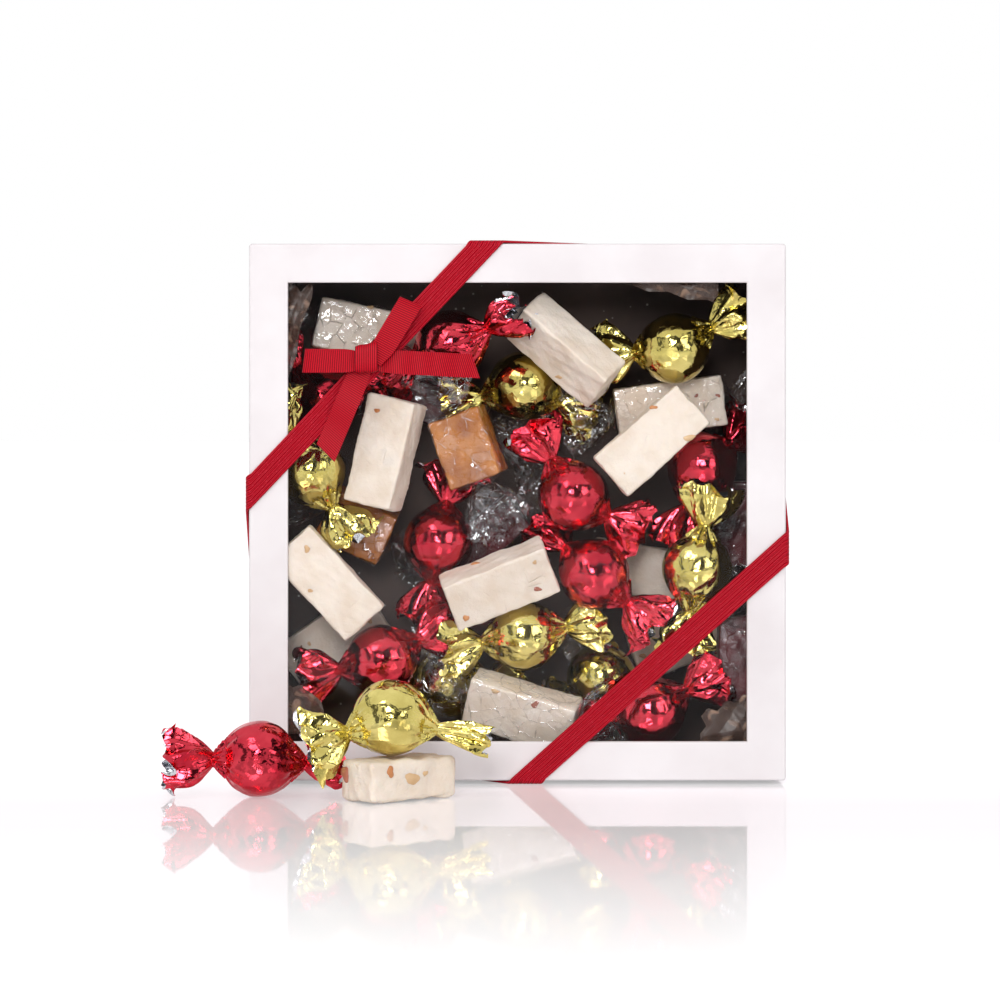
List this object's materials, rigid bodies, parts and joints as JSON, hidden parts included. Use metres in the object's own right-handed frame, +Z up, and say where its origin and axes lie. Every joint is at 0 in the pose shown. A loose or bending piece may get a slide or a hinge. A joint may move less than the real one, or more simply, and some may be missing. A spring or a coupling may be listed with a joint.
{
  "type": "gift box of sweets",
  "caption": "Square lift-off-lid gift box standing on edge, with a clear window, crossed elastic and ribbon bow, filled with foil-twist sweets and nougat, with loose sweets in front.",
  "frame": {"origin": "middle of the foot of the bounding box, on the surface that the box and the loose sweets stand on", "axes": "+X to the right seen from the front, +Y from the window to the box's back, +Z up"},
  "size_m": [0.235, 0.1256, 0.2026],
  "materials": {
    "white_paper": "matt",
    "greyboard": "matt",
    "black_paper": "matt",
    "clear_film": "clear gloss",
    "elastic": "ribbed woven",
    "ribbon": "cross-ribbed grosgrain",
    "glassine": "semi-gloss translucent",
    "red_foil": "coloured foil",
    "gold_foil": "coloured foil",
    "chocolate": "satin",
    "nougat": "matt, grainy",
    "caramel": "satin",
    "toffee": "gloss",
    "wrapper_film": "clear gloss, crinkled"
  },
  "bodies": {
    "tray": {"base_board": "greyboard", "base_liner": "black_paper", "base_wrap": "white_paper", "caramel_1": "caramel", "caramel_2": "caramel", "caramel_films": "wrapper_film", "chocolate_centres": "chocolate", "elastic_loop": "elastic", "gold_foil_sweet_1": "gold_foil", "gold_foil_sweet_2": "gold_foil", "gold_foil_sweet_3": "gold_foil", "gold_foil_sweet_4": "gold_foil", "gold_foil_sweet_5": "gold_foil", "gold_foil_sweet_6": "gold_foil", "gold_foil_sweet_7": "gold_foil", "nougat_bar_1": "nougat", "nougat_bar_10": "nougat", "nougat_bar_11": "nougat", "nougat_bar_2": "nougat", "nougat_bar_3": "nougat", "nougat_bar_4": "nougat", "nougat_bar_5": "nougat", "nougat_bar_6": "nougat", "nougat_bar_7": "nougat", "nougat_bar_8": "nougat", "nougat_bar_9": "nougat", "nougat_films": "wrapper_film", "paper_left": "glassine", "paper_lower_left": "glassine", "paper_lower_right": "glassine", "paper_top": "glassine", "red_foil_sweet_1": "red_foil", "red_foil_sweet_2": "red_foil", "red_foil_sweet_3": "red_foil", "red_foil_sweet_4": "red_foil", "red_foil_sweet_5": "red_foil", "red_foil_sweet_6": "red_foil", "red_foil_sweet_7": "red_foil", "red_foil_sweet_8": "red_foil", "toffee_1": "toffee", "toffee_2": "toffee", "toffee_3": "toffee", "toffee_4": "toffee", "toffee_5": "toffee", "toffee_films": "wrapper_film"},
    "lid": {"lid_board": "greyboard", "lid_wrap": "white_paper", "window_film": "clear_film", "bow_knot": "ribbon", "bow_left_loop": "ribbon", "bow_lower_tail": "ribbon", "bow_right_tail": "ribbon", "bow_upper_loop": "ribbon"},
    "loose_red": {"loose_red_foil": "red_foil", "loose_red_centre": "chocolate"},
    "loose_nougat": {"loose_nougat_bar": "nougat"},
    "loose_gold": {"loose_gold_foil": "gold_foil", "loose_gold_centre": "chocolate"}
  },
  "joints": [
    {"name": "lid_lift", "type": "slide", "parent": "tray", "child": "lid", "axis": [0, -1, 0], "range_m": [0, 0.06], "deforming": ["elastic_loop"]},
    {"name": "loose_red_slide", "type": "slide", "parent": "lid", "child": "loose_red", "axis": [-1, 0, 0], "range_m": [0, 0.1]},
    {"name": "loose_nougat_slide", "type": "slide", "parent": "lid", "child": "loose_nougat", "axis": [0, -1, 0], "range_m": [0, 0.1]},
    {"name": "loose_gold_lift", "type": "slide", "parent": "loose_nougat", "child": "loose_gold", "axis": [0, 0, 1], "range_m": [0, 0.06]}
  ]
}
